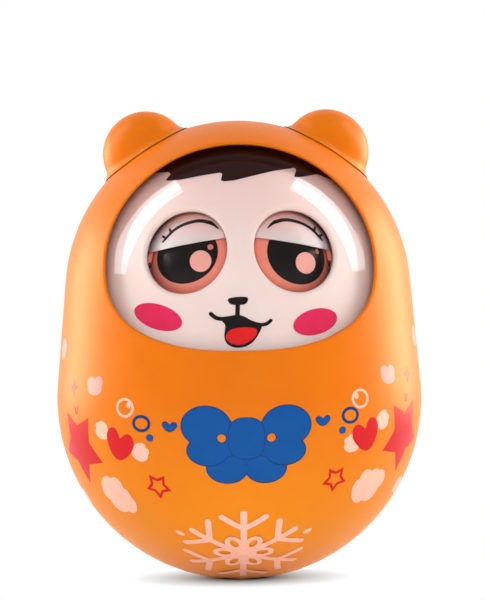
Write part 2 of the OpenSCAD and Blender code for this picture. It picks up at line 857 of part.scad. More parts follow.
module chime_bridge() {
    leg_x = chime_screw_r - post_d / 2 - bridge_t;
    foot_l = bridge_t + post_d;
    color("gainsboro") difference() {
        union() {
            translate([-leg_x - bridge_t, -bridge_w / 2, bridge_top])
                cube([2 * (leg_x + bridge_t), bridge_w, bridge_t]);
            for (s = sides) mirror([s < 0 ? 1 : 0, 0, 0]) {
                translate([leg_x, -bridge_w / 2, chime_top])
                    cube([bridge_t, bridge_w, bridge_top - chime_top]);
                translate([leg_x, -bridge_w / 2, chime_top]) cube([foot_l, bridge_w, bridge_t]);
                translate([hanger_in, -bridge_w / 2, pin_z - striker_hub_d / 2])
                    cube([bridge_t, bridge_w, bridge_top - pin_z + striker_hub_d / 2]);
            }
        }
        along_x(-reach, reach, 0, pin_z, pin_r + press_gap);
        for (p = chime_screw_spots)
            translate([p[0], p[1], chime_top - 1]) cylinder(r = small_screw_r + fit_gap, h = bridge_t + 2);
    }
}

module chime_screws() {
    color("silver") for (p = chime_screw_spots)
        translate([p[0], p[1], chime_foot_z]) rotate([180, 0, 0])
            screw(small_screw_r, chime_screw_len, small_head);
}

module striker_pin() {
    pin_half = hanger_in + bridge_t;
    color("silver") along_x(-pin_half, pin_half, 0, pin_z, pin_r);
}

module striker_arm() {
    color("gainsboro") difference() {
        union() {
            along_x(-striker_hub_l / 2, striker_hub_l / 2, 0, pin_z, striker_hub_d / 2);
            translate([0, 0, ball_z]) cylinder(r = stem_d / 2, h = striker_len);
        }
        along_x(-reach, reach, 0, pin_z, pin_r + run_gap);
    }
}

module striker_ball() {
    color("silver") translate([0, 0, ball_z]) difference() {
        sphere(striker_d / 2);
        cylinder(r = stem_d / 2 + press_gap, h = reach);
    }
}

front_shell();
rear_shell();
shell_screws();
screw_plugs();
left_ear();
right_ear();
face_window();
face_plate();
face_screws();
left_eyeball();
right_eyeball();
eyeball_screws();
left_eyelid();
right_eyelid();
eyelid_shaft();
pendulum_arm();
pendulum_weight();
eye_bracket();
bracket_screws();
ballast();
chime_base();
chime_rods();
chime_bridge();
chime_screws();
striker_pin();
striker_arm();
striker_ball();
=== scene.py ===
"""Looks of the roly poly toy: casing, ears, face, eyes and prints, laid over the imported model.

Shapes are worked out in millimetres in the part's own frame. new_object scales them to metres.
"""

import math

import bmesh
import bpy
from mathutils import Matrix, Vector


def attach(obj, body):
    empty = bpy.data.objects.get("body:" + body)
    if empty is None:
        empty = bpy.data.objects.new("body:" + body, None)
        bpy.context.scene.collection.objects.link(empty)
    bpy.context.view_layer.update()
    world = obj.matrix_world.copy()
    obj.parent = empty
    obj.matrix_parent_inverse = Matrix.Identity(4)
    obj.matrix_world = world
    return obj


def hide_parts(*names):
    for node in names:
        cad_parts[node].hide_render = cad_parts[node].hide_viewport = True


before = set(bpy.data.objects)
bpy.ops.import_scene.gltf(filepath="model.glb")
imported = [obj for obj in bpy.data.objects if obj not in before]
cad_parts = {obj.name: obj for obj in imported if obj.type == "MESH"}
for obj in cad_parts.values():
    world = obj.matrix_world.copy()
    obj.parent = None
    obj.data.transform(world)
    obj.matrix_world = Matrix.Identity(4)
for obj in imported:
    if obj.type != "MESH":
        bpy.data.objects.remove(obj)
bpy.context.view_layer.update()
scene = bpy.context.scene
scene.view_settings.view_transform = "Standard"

MM = 0.001
UP = Vector((0, 0, 1))
BACKWARDS = Vector((0, 1, 0))
SIDES = (("left", -1), ("right", 1))

# Casing, as in the part's source
BELLY_R, CROWN_R, CROWN_TOP, FOOT_R, WALL = 60.0, 57.0, 150.5, 9.0, 2.4
BELLY_Z = math.sqrt(BELLY_R ** 2 - FOOT_R ** 2)
CROWN_Z = CROWN_TOP - CROWN_R
SIDE_LEAN = math.asin((BELLY_R - CROWN_R) / (CROWN_Z - BELLY_Z))
CROWN_CENTRE = Vector((0, 0, CROWN_Z))

# Face opening, and the layers behind it as depths under the egg's surface
FACE_HALF_W = 0.7456 * CROWN_R
FACE_Z = CROWN_Z + 0.149 * CROWN_R
FACE_UP = 0.674 * CROWN_R
FACE_DOWN = 0.4736 * CROWN_R
FACE_SQUARE = 2.5
WINDOW_FRONT, WINDOW_BACK, WINDOW_LAP = 2.55, 4.35, 3.0
PLATE_FRONT, PLATE_BACK, PLATE_LAP = 4.95, 6.75, 2.0

# Eyes
EYE_X, EYE_RISE = 0.288 * CROWN_R, 0.214 * CROWN_R
HOLE_X, HOLE_RISE = 0.312 * CROWN_R, 0.23 * CROWN_R
EYE_HOLE_R = 0.47 * CROWN_R / 2
EYE_R = CROWN_R - PLATE_FRONT
HOLE_LINE = Vector((HOLE_X, -math.sqrt(EYE_R ** 2 - HOLE_X ** 2 - HOLE_RISE ** 2), HOLE_RISE)) / EYE_R
EYE_LINE = Vector((EYE_X, -math.sqrt(EYE_R ** 2 - EYE_X ** 2 - EYE_RISE ** 2), EYE_RISE)) / EYE_R
LID_R = 0.351 * CROWN_R
BALL_R = LID_R - 1.6
LID_ROOM = 0.65
LID_CENTRE = CROWN_CENTRE + (CROWN_R - WINDOW_BACK - LID_ROOM - LID_R) * EYE_LINE

# Ears
EAR_ANGLE = math.radians(57.3)
EAR_R = 0.249 * CROWN_R - 0.02
EAR_HALF_DEPTH = 0.845 * EAR_R
EAR_LINE = Vector((math.cos(EAR_ANGLE), 0, math.sin(EAR_ANGLE)))
EAR_CENTRE = CROWN_CENTRE + 0.965 * CROWN_R * EAR_LINE
EAR_GAP = 0.2

# The casing's surface lies this much under the part's, so that the prints on it stay inside its size
SKIN = 0.12


# The egg's surface

def egg_radius(z, depth=0.0):
    """Radius of the egg at a height, at a depth under its surface."""
    crown, belly = CROWN_R - depth, BELLY_R - depth
    if z > CROWN_Z + crown * math.sin(SIDE_LEAN):
        return math.sqrt(max(crown ** 2 - (z - CROWN_Z) ** 2, 0))
    if z < BELLY_Z + belly * math.sin(SIDE_LEAN):
        return math.sqrt(max(belly ** 2 - (z - BELLY_Z) ** 2, 0))
    return (belly - (z - BELLY_Z) * math.sin(SIDE_LEAN)) / math.cos(SIDE_LEAN)


def front_point(x, z, depth=0.0):
    """The point of the egg's front at a place of the front view."""
    return Vector((x, -math.sqrt(max(egg_radius(z, depth) ** 2 - x * x, 0)), z))


def outline_reach(centre_z, direction, depth=0.0):
    """Distance from a point of the egg's axis to its outline in the front view."""
    near, far = 0.0, 2 * CROWN_TOP
    for _ in range(40):
        middle = (near + far) / 2
        x, z = direction[0] * middle, centre_z + direction[1] * middle
        if z > 0 and abs(x) < egg_radius(z, depth):
            near = middle
        else:
            far = middle
    return near


def face_edge(turn, grow=0.0):
    """A point of the face opening's edge in the front view, moved outwards by a margin."""
    across, up = math.cos(turn), math.sin(turn)
    power = 2 / FACE_SQUARE if up < 0 else 1
    reach = FACE_DOWN if up < 0 else FACE_UP
    return ((FACE_HALF_W + grow) * math.copysign(abs(across) ** power, across),
            FACE_Z + (reach + grow) * math.copysign(abs(up) ** power, up))


# Modelling helpers

SHARP_ANGLE = math.radians(35)
JOIN_DISTANCE = 0.002


def ring_body(count, rings):
    """A surface through rings of corners. Each ring is a rule that places a corner by its turn."""
    bm = bmesh.new()
    step = bm.verts.layers.int.new("step")
    for i, corner in enumerate(bmesh.ops.create_circle(bm, segments=count, radius=1)["verts"]):
        corner[step] = i
        corner.co = rings[0](math.tau * i / count)
    edges = list(bm.edges)
    for place in rings[1:]:
        made = bmesh.ops.extrude_edge_only(bm, edges=edges)["geom"]
        fresh = {g for g in made if isinstance(g, bmesh.types.BMVert)}
        for corner in fresh:
            corner.co = place(math.tau * corner[step] / count)
        edges = [g for g in made if isinstance(g, bmesh.types.BMEdge) and fresh.issuperset(g.verts)]
    bmesh.ops.remove_doubles(bm, verts=bm.verts, dist=JOIN_DISTANCE)
    bmesh.ops.recalc_face_normals(bm, faces=bm.faces)
    return bm


def turned_rings(profile, centre, axis):
    """Rings for a body turned about an axis. The profile gives radius and place along the axis."""
    turn = UP.rotation_difference(axis).to_matrix()

    def ring(radius, along):
        return lambda t: centre + turn @ Vector((radius * math.cos(t), radius * math.sin(t), along))

    return [ring(radius, along) for radius, along in profile]


def arc(centre, radius, start, end, steps):
    """Points of an arc in a profile, from one angle to another in degrees."""
    turns = [math.radians(start + (end - start) * i / steps) for i in range(steps + 1)]
    return [(centre[0] + radius * math.cos(t), centre[1] + radius * math.sin(t)) for t in turns]


def smooth_faces(mesh):
    """Shades a mesh smoothly, with sharp edges kept."""
    mesh.shade_smooth()
    mesh.set_sharp_from_angle(angle=SHARP_ANGLE)


def new_object(bm, name):
    """An object from a mesh in millimetres, at the origin."""
    bmesh.ops.scale(bm, vec=(MM, MM, MM), verts=bm.verts)
    mesh = bpy.data.meshes.new(name)
    bm.to_mesh(mesh)
    bm.free()
    smooth_faces(mesh)
    piece = bpy.data.objects.new(name, mesh)
    scene.collection.objects.link(piece)
    return piece


def carve(piece, cutters):
    """Cuts the shapes of other objects out of a piece, and removes them."""
    for cutter in cutters:
        cut = piece.modifiers.new("cut", "BOOLEAN")
        cut.operation = "DIFFERENCE"
        cut.solver = "EXACT"
        cut.object = cutter
    bpy.context.view_layer.update()
    graph = bpy.context.evaluated_depsgraph_get()
    carved = bpy.data.meshes.new_from_object(piece.evaluated_get(graph))
    piece.modifiers.clear()
    piece.data = carved
    smooth_faces(carved)
    for cutter in cutters:
        bpy.data.objects.remove(cutter)
    return piece


def finish_piece(piece, material, body="casing", nodes=()):
    """Gives a piece its material and its body, and hides the nodes that it stands for."""
    piece.data.materials.clear()
    piece.data.materials.append(material)
    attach(piece, body)
    if nodes:
        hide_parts(*nodes)


# Materials

def srgb(red, green, blue):
    """A colour given in 0 to 255 as screens show it."""
    def linear(part):
        part /= 255
        return part / 12.92 if part <= 0.04045 else ((part + 0.055) / 1.055) ** 2.4
    return linear(red), linear(green), linear(blue), 1.0


class NodeTree:
    """A node tree, with short calls for the nodes used here."""

    def __init__(self, tree):
        self.tree = tree

    def node(self, kind, **settings):
        """A new node of a kind, with the settings given."""
        made = self.tree.nodes.new(kind)
        for key, value in settings.items():
            setattr(made, key, value)
        return made

    def link(self, source, target):
        self.tree.links.new(source, target)

    def spread(self, source, low, high, start=0.3, end=0.7):
        """A value that runs from low to high while its source runs from start to end."""
        made = self.node("ShaderNodeMapRange")
        self.link(source, made.inputs["Value"])
        for name, value in (("From Min", start), ("From Max", end), ("To Min", low), ("To Max", high)):
            made.inputs[name].default_value = value
        return made.outputs["Result"]

    def reckon(self, operation, first, second):
        """The result of a calculation with two values that come from other nodes."""
        made = self.node("ShaderNodeMath", operation=operation)
        self.link(first, made.inputs[0])
        self.link(second, made.inputs[1])
        return made.outputs["Value"]


class Shader(NodeTree):
    """A material's node tree."""

    def __init__(self, name):
        self.material = bpy.data.materials.new(name)
        self.material.use_nodes = True
        super().__init__(self.material.node_tree)
        self.body = self.tree.nodes["Principled BSDF"]
        self.output = self.tree.nodes["Material Output"]
        self.place = self.node("ShaderNodeTexCoord").outputs["Object"]

    def noise(self, scale, detail, roughness=0.5):
        """Cloudy patches. A higher scale gives smaller ones."""
        made = self.node("ShaderNodeTexNoise")
        made.inputs["Scale"].default_value = scale
        made.inputs["Detail"].default_value = detail
        made.inputs["Roughness"].default_value = roughness
        self.link(self.place, made.inputs["Vector"])
        return made.outputs["Fac"]

    def blend(self, factor, first, second):
        """A mix of two colours. Each is a colour or comes from another node."""
        made = self.node("ShaderNodeMix", data_type="RGBA")
        self.link(factor, made.inputs[0])
        for socket, colour in ((made.inputs[6], first), (made.inputs[7], second)):
            if isinstance(colour, tuple):
                socket.default_value = colour
            else:
                self.link(colour, socket)
        return made.outputs[2]

    def bump(self, height, distance):
        """A fine relief, whose depth is in metres."""
        made = self.node("ShaderNodeBump")
        made.inputs["Strength"].default_value = 1.0
        made.inputs["Distance"].default_value = distance
        self.link(height, made.inputs["Height"])
        self.link(made.outputs["Normal"], self.body.inputs["Normal"])

    def height(self):
        """The height in the part's own frame, in metres."""
        made = self.node("ShaderNodeSeparateXYZ")
        self.link(self.place, made.inputs["Vector"])
        return made.outputs["Z"]

    def flow_marks(self, colour, shade):
        """Two near colours, mottled as plastic is where it flowed into its mould."""
        return self.blend(self.spread(self.noise(60, 2), 0, 1, 0.35, 0.75), colour, shade)

    def show_both(self, share, first, second):
        """Shows two shaders, the second one by its share."""
        mixed = self.node("ShaderNodeMixShader")
        self.link(share, mixed.inputs["Fac"])
        self.link(first, mixed.inputs[1])
        self.link(second, mixed.inputs[2])
        self.link(mixed.outputs["Shader"], self.output.inputs["Surface"])


LIGHT_SPREAD = (1.0, 0.6, 0.4)
LIGHT_DEPTH = 0.004
# Heights in metres over which the painted bounce light from the floor fades out
BOUNCE_FADE = (0.015, 0.06)
STRAP_EDGE = 0.0004
INK_GLOSS = 0.15


def plastic_surface(s, rough, grain, gloss, glow):
    """Uneven gloss and a fine texture, and how far light spreads inside the plastic."""
    s.link(s.spread(s.noise(900, 4, 0.6), *rough), s.body.inputs["Roughness"])
    s.bump(s.noise(2600, 4, 0.6), grain)
    s.body.inputs["Specular IOR Level"].default_value = gloss
    s.body.inputs["Subsurface Weight"].default_value = glow
    s.body.inputs["Subsurface Radius"].default_value = LIGHT_SPREAD
    s.body.inputs["Subsurface Scale"].default_value = LIGHT_DEPTH


def moulded_plastic(name, colours, rough=(0.3, 0.4), grain=0.00001, gloss=0.3, glow=0.0, painted_bounce=None):
    """Plastic with faint flow marks, which can turn to a lighter colour low down: painted bounce light from
    the floor.
    """
    s = Shader(name)
    coat = s.flow_marks(*colours)
    # Low down the colour turns lighter and yellower: painted bounce light from the floor
    if painted_bounce:
        coat = s.blend(s.spread(s.height(), 1, 0, *BOUNCE_FADE), coat, painted_bounce)
    s.link(coat, s.body.inputs["Base Color"])
    plastic_surface(s, rough, grain, gloss, glow)
    return s.material


def top_tinted_plastic(name, colours, top_tint, heights, strap=None):
    """Pale plastic, pinker towards the top. A strap has a colour below a height."""
    s = Shader(name)
    # Towards the top the colour turns pinker; on the eyelids this is painted shade of the eye hole's rim
    coat = s.blend(s.spread(s.height(), 0, 1, *heights), s.flow_marks(*colours), top_tint)
    if strap:
        colour, top = strap
        coat = s.blend(s.spread(s.height(), 1, 0, top, top + STRAP_EDGE), coat, colour)
    s.link(coat, s.body.inputs["Base Color"])
    plastic_surface(s, (0.3, 0.38), 0.000005, 0.3, 0.4)
    return s.material


def printed_ink(name, colour, shade):
    """Printed ink: an even coat with faint patches and a trace of the printing pad's grain."""
    s = Shader(name)
    s.link(s.blend(s.spread(s.noise(240, 3), 0, 1), colour, shade), s.body.inputs["Base Color"])
    s.link(s.spread(s.noise(1400, 3), 0.28, 0.36), s.body.inputs["Roughness"])
    s.bump(s.noise(3800, 3), 0.000006)
    s.body.inputs["Specular IOR Level"].default_value = INK_GLOSS
    return s.material


def plain_metal(name, colour, shade, rough):
    """Plated or cast metal with faint scratches and spots."""
    s = Shader(name)
    s.link(s.blend(s.spread(s.noise(400, 5, 0.7), 0, 1), colour, shade), s.body.inputs["Base Color"])
    s.link(s.spread(s.noise(1200, 5, 0.7), *rough), s.body.inputs["Roughness"])
    s.body.inputs["Metallic"].default_value = 1.0
    s.bump(s.noise(2200, 5, 0.7), 0.00001)
    return s.material


MIRRORED_AHEAD = 0.035
MIRROR_GROWTH = 5
WINDOW_TINT = (0.985, 0.985, 0.985, 1)


def clear_window(name):
    """Clear plastic: see-through, with mirrored light that grows towards the edge of sight."""
    s = Shader(name)
    s.tree.nodes.remove(s.body)
    facing = s.node("ShaderNodeLayerWeight")
    steep = s.node("ShaderNodeMath", operation="POWER")
    s.link(facing.outputs["Facing"], steep.inputs[0])
    steep.inputs[1].default_value = MIRROR_GROWTH
    through = s.node("ShaderNodeBsdfTransparent")
    through.inputs["Color"].default_value = WINDOW_TINT
    mirror = s.node("ShaderNodeBsdfGlossy")
    s.link(s.spread(s.noise(90, 2), 0.03, 0.06), mirror.inputs["Roughness"])
    share = s.spread(steep.outputs["Value"], MIRRORED_AHEAD, 1, 0, 1)
    s.show_both(share, through.outputs["BSDF"], mirror.outputs["BSDF"])
    return s.material


SALMON = (srgb(255, 148, 128), srgb(252, 140, 120))
# The casing's lighter, yellower colour low down is painted bounce light from the floor
orange = moulded_plastic("orange_plastic", (srgb(219, 112, 3), srgb(216, 107, 2)), (0.36, 0.44), gloss=0.18,
                         glow=0.1, painted_bounce=srgb(224, 134, 6))
pink = top_tinted_plastic("face_plastic", (srgb(253, 226, 221), srgb(252, 221, 215)), srgb(250, 208, 203),
                       (0.108, 0.132))
salmon = moulded_plastic("eyeball_plastic", SALMON, (0.22, 0.28), 0.000004, glow=0.4)
# The lid's salmon pink towards its top is painted shade, where the eye hole's rim shades the lid
lid_pink = top_tinted_plastic("lid_plastic", (srgb(232, 217, 216), srgb(228, 211, 210)), srgb(255, 180, 168),
                           (0.109, 0.119), strap=(SALMON[0], 0.1064))
white = moulded_plastic("white_plastic", (srgb(232, 232, 228), srgb(226, 226, 220)), (0.4, 0.5), 0.00002)
steel = plain_metal("zinc_steel", srgb(200, 200, 202), srgb(182, 182, 186), (0.25, 0.4))
bright_steel = plain_metal("nickel_steel", srgb(222, 221, 218), srgb(208, 207, 204), (0.1, 0.18))
iron = plain_metal("cast_iron", srgb(92, 92, 94), srgb(70, 70, 72), (0.55, 0.75))
clear = clear_window("clear_plastic")
blue_ink = printed_ink("blue_ink", srgb(5, 79, 151), srgb(4, 75, 145))
navy_ink = printed_ink("navy_ink", srgb(10, 58, 118), srgb(9, 52, 108))
red_ink = printed_ink("red_ink", srgb(202, 24, 34), srgb(195, 21, 31))
pale_ink = printed_ink("pale_ink", srgb(238, 185, 168), srgb(233, 178, 160))
# A darker, pinker copy of the pale ink: painted shade for pale prints near the edges, where the warm side
# lamps light them strongly
shaded_pale_ink = printed_ink("shaded_pale_ink", srgb(230, 158, 154), srgb(225, 150, 145))
cheek_ink = printed_ink("cheek_ink", srgb(230, 46, 96), srgb(224, 40, 88))
tongue_ink = printed_ink("tongue_ink", srgb(232, 26, 28), srgb(224, 22, 26))
black_ink = printed_ink("black_ink", srgb(24, 17, 18), srgb(18, 13, 14))
hair_ink = printed_ink("hair_ink", srgb(44, 13, 16), srgb(38, 10, 12))
glint_ink = printed_ink("glint_ink", srgb(240, 172, 160), srgb(236, 164, 152))


# Casing

COLUMNS = 180
LIP_R = 1.1
SEAM_CHAMFER = 0.3
SEAM_GAP = 0.05


def hood_point(turn, share, depth=0.0, grow=0.0):
    """A point of the front shell, from the face opening's edge at share 0 to the seam at share 1."""
    x, z = face_edge(turn, grow)
    reach = math.hypot(x, z - FACE_Z)
    way = (x / reach, (z - FACE_Z) / reach)
    limit = outline_reach(FACE_Z, way, depth)
    start = math.asin(min(reach / limit, 1))
    length = limit * math.sin(start + (math.pi / 2 - start) * share)
    return front_point(way[0] * length, FACE_Z + way[1] * length, depth)


def before_seam(point, gap):
    """A point kept a gap in front of the seam."""
    return Vector((point.x, min(point.y, -gap), point.z))


def front_shell():
    """The front half, with a rounded lip round the face opening and a chamfer at the seam."""
    outer, inner = 44, 10

    def lip(grow, depth):
        return lambda t: front_point(*face_edge(t, grow), depth)

    def outside(share):
        return lambda t: before_seam(hood_point(t, share, SKIN, LIP_R), SEAM_CHAMFER)

    def inside(share):
        return lambda t: before_seam(hood_point(t, share, WALL), SEAM_GAP)

    def seam(t):
        edge = hood_point(t, 1, SEAM_CHAMFER)
        return Vector((edge.x, -SEAM_GAP, edge.z))

    rings = [lip(0, WALL)]
    rings += [lip(grow, depth) for grow, depth in arc((LIP_R, LIP_R + SKIN), LIP_R, 180, 270, 8)]
    rings += [outside(i / outer) for i in range(1, outer + 1)]
    rings += [seam]
    rings += [inside(1 - i / inner) for i in range(inner + 1)]
    return new_object(ring_body(COLUMNS, rings), "front_shell_looks")


REAR_Z = 75.0
WELL_R, WELL_SEAT, WELL_PAST = 3.8, 8.0, 8.0
BOSS_UP = ((1 - 0.2684) * CROWN_R, math.radians(10), CROWN_Z)
BOSS_LOW = (BELLY_R - 11, math.radians(-26), BELLY_Z)
WELLS = [(side * r * math.cos(a), z + r * math.sin(a))
         for _, side in SIDES for r, a, z in (BOSS_UP, BOSS_LOW)]


def rear_shell():
    """The back half, with a chamfer at the seam and four screw wells."""
    outer, inner = 40, 12

    def back(share, depth, gap):
        def place(t):
            way = (math.cos(t), math.sin(t))
            length = outline_reach(REAR_Z, way, depth) * math.sin(share * math.pi / 2)
            point = front_point(way[0] * length, REAR_Z + way[1] * length, depth)
            return Vector((point.x, max(-point.y, gap), point.z))
        return place

    def seam(t):
        edge = back(1, SEAM_CHAMFER, 0)(t)
        return Vector((edge.x, SEAM_GAP, edge.z))

    rings = [back(i / outer, SKIN, SEAM_CHAMFER) for i in range(outer + 1)]
    rings += [seam]
    rings += [back(1 - i / inner, WALL, SEAM_GAP) for i in range(inner + 1)]
    shell = new_object(ring_body(COLUMNS, rings), "rear_shell_looks")
    cutters = []
    for x, z in WELLS:
        mouth = -front_point(x, z).y
        end = mouth + WELL_PAST
        profile = [(0, WELL_SEAT), (WELL_R, WELL_SEAT), (WELL_R, end), (0, end)]
        body = ring_body(48, turned_rings(profile, Vector((x, 0, z)), BACKWARDS))
        cutters.append(new_object(body, "well"))
    return carve(shell, cutters)


EAR_FLARE = 2.2
EAR_ROOT_R = EAR_R * 0.5


def ear(name, side):
    """A round ear that flares softly where it meets the hood."""
    profile = [(0, -EAR_HALF_DEPTH)]
    profile += arc((EAR_R - EAR_HALF_DEPTH, 0), EAR_HALF_DEPTH, -90, 90, 56)
    profile += [(0, EAR_HALF_DEPTH)]
    centre = Vector((side * EAR_CENTRE.x, 0, EAR_CENTRE.z))
    line = Vector((side * EAR_LINE.x, 0, EAR_LINE.z))
    pillow = new_object(ring_body(112, turned_rings(profile, centre, BACKWARDS)), name)
    crown_profile = arc((0, 0), CROWN_R + EAR_GAP, -90, 90, 120)
    crown = new_object(ring_body(160, turned_rings(crown_profile, CROWN_CENTRE, UP)), "crown")
    carve(pillow, [crown])
    for corner in pillow.data.vertices:
        offset = corner.co / MM - CROWN_CENTRE
        height = offset.length - CROWN_R - EAR_GAP
        away = offset - line * offset.dot(line)
        if height < EAR_FLARE and away.length > EAR_ROOT_R:
            left = EAR_FLARE - max(height, 0)
            push = EAR_FLARE - math.sqrt(EAR_FLARE ** 2 - left ** 2)
            moved = offset + away.normalized() * push
            corner.co = (CROWN_CENTRE + moved.normalized() * offset.length) * MM
    return pillow


finish_piece(front_shell(), orange, nodes=["front_shell"])
finish_piece(rear_shell(), orange, nodes=["rear_shell"])
for side_name, side_sign in SIDES:
    looks = ear(side_name + "_ear_looks", side_sign)
    finish_piece(looks, orange, nodes=[side_name + "_ear"])


# Window and face plate

def pane(name, front, back, lap):
    """A curved pane behind the face opening, between two depths."""
    rows = 36

    def layer(share, depth):
        def place(t):
            x, z = face_edge(t, lap)
            return front_point(x * share, FACE_Z + (z - FACE_Z) * share, depth)
        return place

    rings = [layer(i / rows, front) for i in range(rows + 1)]
    rings += [layer(1 - i / rows, back) for i in range(rows + 1)]
    return new_object(ring_body(144, rings), name)


EYE_LIP_R = 1.1
EYE_LIP_PAST = 10
HOLE_BEHIND, HOLE_AHEAD, HOLE_FLARE = 12, 9, 0.3


def eye_hole_cutter(side):
    """The shape of an eye hole, whose front edge is rounded over."""
    line = Vector((side * HOLE_LINE.x, HOLE_LINE.y, HOLE_LINE.z))
    across = EYE_HOLE_R + EYE_LIP_R
    height = math.sqrt((EYE_R - EYE_LIP_R) ** 2 - across ** 2)
    end = math.degrees(math.atan2(height, across)) + EYE_LIP_PAST
    rim = arc((across, height), EYE_LIP_R, 180, end, 8)
    low, high = height - HOLE_BEHIND, height + HOLE_AHEAD
    profile = [(0, low), (EYE_HOLE_R, low)] + rim + [(rim[-1][0] + HOLE_FLARE, high), (0, high)]
    return new_object(ring_body(96, turned_rings(profile, CROWN_CENTRE, line)), "eye_hole")


finish_piece(pane("face_window_looks", WINDOW_FRONT, WINDOW_BACK, WINDOW_LAP), clear,
             nodes=["face_window"])
face_plate = carve(pane("face_plate_looks", PLATE_FRONT, PLATE_BACK, PLATE_LAP),
                   [eye_hole_cutter(side) for _, side in SIDES])
finish_piece(face_plate, pink, nodes=["face_plate"])


# Nodes whose solids already have their shape

def smooth_copy(node, material, body):
    """A copy of a node's mesh with its corners joined, so that it shades smoothly."""
    bm = bmesh.new()
    bm.from_mesh(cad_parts[node].data)
    bmesh.ops.remove_doubles(bm, verts=bm.verts, dist=JOIN_DISTANCE * MM)
    bmesh.ops.scale(bm, vec=(1 / MM, 1 / MM, 1 / MM), verts=bm.verts)
    finish_piece(new_object(bm, node + "_looks"), material, body, [node])


for side_name, _ in SIDES:
    smooth_copy(side_name + "_eyeball", salmon, "casing")
    smooth_copy(side_name + "_eyelid", lid_pink, "eyelids")

# Nodes that are shown as they are, by material
KEPT = {
    orange: ["screw_plugs"],
    lid_pink: ["pendulum_arm"],
    white: ["eye_bracket", "chime_base", "chime_bridge", "striker_arm"],
    steel: ["shell_screws", "face_screws", "eyeball_screws", "bracket_screws", "chime_screws", "eyelid_shaft",
            "striker_pin", "pendulum_weight"],
    bright_steel: ["chime_rods", "striker_ball"],
    iron: ["ballast"],
}
for material, nodes in KEPT.items():
    for node in nodes:
        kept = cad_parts[node].data.materials
        kept.clear()
        kept.append(material)


# Prints: outlines are drawn flat, laid on their carrier and given a thin coat of ink

INK_FOOT, INK_STEP = 0.012, 0.011
FINE_EDGE, EYE_FINE_EDGE = 1.4, 0.9
MOST_SPLITS = 8


def bent_round(line, radius):
    """Bends a flat drawing round a ball, with its middle along a line from the ball's centre."""
    out = Vector(line).normalized()
    east = UP.cross(out).normalized()
    north = out.cross(east)

    def direction(a, b):
        way = Vector((0, 0, 0)) if a == b == 0 else (a * east + b * north).normalized()
        bend = math.hypot(a, b) / radius
        return out * math.cos(bend) + way * math.sin(bend)
    return direction


def on_belly(x, z):
    """Lays a flat drawing on the casing, with its middle at a place of the front view."""
    direction = bent_round(front_point(x, z) - Vector((0, 0, BELLY_Z)), BELLY_R)

    def place(a, b, lift):
        spot = direction(a, b)
        height = BELLY_Z + BELLY_R * spot.z
        turn = math.atan2(spot.x, -spot.y)
        radius = egg_radius(height, SKIN - lift)
        return Vector((radius * math.sin(turn), -radius * math.cos(turn), height))
    return place


def on_face(a, b, lift):
    """Lays a drawing on the face plate as it is seen from the front."""
    return front_point(a, b, PLATE_FRONT - lift)


def on_ball(side, line):
    """Lays a flat drawing on an eyeball, with its middle along a line from the ball's centre."""
    centre = Vector((side * LID_CENTRE.x, LID_CENTRE.y, LID_CENTRE.z))
    direction = bent_round(line, BALL_R)
    return lambda a, b, lift: centre + direction(a, b) * (BALL_R + lift)


def on_lid(side):
    """Lays a drawing on an eyelid as it is seen from the front, with outwards as across."""
    def place(a, b, lift):
        deep = math.sqrt(max((LID_R + lift) ** 2 - a * a - b * b, 0))
        return Vector((side * (LID_CENTRE.x + a), LID_CENTRE.y - deep, LID_CENTRE.z + b))
    return place


class Print:
    """All the ink of one colour on one carrier."""

    def __init__(self, fine=FINE_EDGE):
        self.bm = bmesh.new()
        self.fine = fine

    def fill(self, outline, place, layer=0):
        """Inks all that an outline encloses."""
        flat = bmesh.new()
        corners = bmesh.ops.create_circle(flat, cap_ends=True, segments=len(outline), radius=1)["verts"]
        for corner, (a, b) in zip(corners, outline):
            corner.co = (a, b, 0)
        self.lay(flat, place, layer)

    def band(self, outer, inner, place, layer=0):
        """Inks what lies between two outlines with as many points."""
        count = len(outer)

        def ring(outline):
            return lambda t: Vector((*outline[round(t / math.tau * count) % count], 0))
        self.lay(ring_body(count, [ring(outer), ring(inner)]), place, layer)

    def lay(self, flat, place, layer):
        """Splits a flat drawing finely and lays it on its carrier. Higher layers cover lower ones."""
        bmesh.ops.triangulate(flat, faces=flat.faces)
        for _ in range(MOST_SPLITS):
            wide = [edge for edge in flat.edges if edge.calc_length() > self.fine]
            if not wide:
                break
            bmesh.ops.subdivide_edges(flat, edges=wide, cuts=1)
            bmesh.ops.triangulate(flat, faces=flat.faces)
        made = bmesh.ops.extrude_face_region(flat, geom=list(flat.faces), use_keep_orig=True)["geom"]
        raised = {g for g in made if isinstance(g, bmesh.types.BMVert)}
        for corner in flat.verts:
            coat = INK_STEP * (layer + 1) if corner in raised else 0
            corner.co = place(corner.co.x, corner.co.y, INK_FOOT + coat)
        bmesh.ops.recalc_face_normals(flat, faces=flat.faces)
        sheet = bpy.data.meshes.new("sheet")
        flat.to_mesh(sheet)
        flat.free()
        self.bm.from_mesh(sheet)
        bpy.data.meshes.remove(sheet)

    def finish(self, name, ink, slot, body="casing"):
        """Makes the ink into a piece."""
        finish_piece(new_object(self.bm, name), ink, body)


def turned(points, tilt, middle=(0, 0)):
    """Points turned by an angle in degrees and moved."""
    c, s = math.cos(math.radians(tilt)), math.sin(math.radians(tilt))
    return [(middle[0] + a * c - b * s, middle[1] + a * s + b * c) for a, b in points]


def shifted(points, across):
    """Points moved sideways."""
    return [(a + across, b) for a, b in points]


def oval(half_w, half_h, middle=(0, 0), tilt=0, count=40):
    """An oval, turned by an angle in degrees."""
    steps = [math.tau * i / count for i in range(count)]
    return turned([(half_w * math.cos(t), half_h * math.sin(t)) for t in steps], tilt, middle)


CUSHION_POWER = 0.72


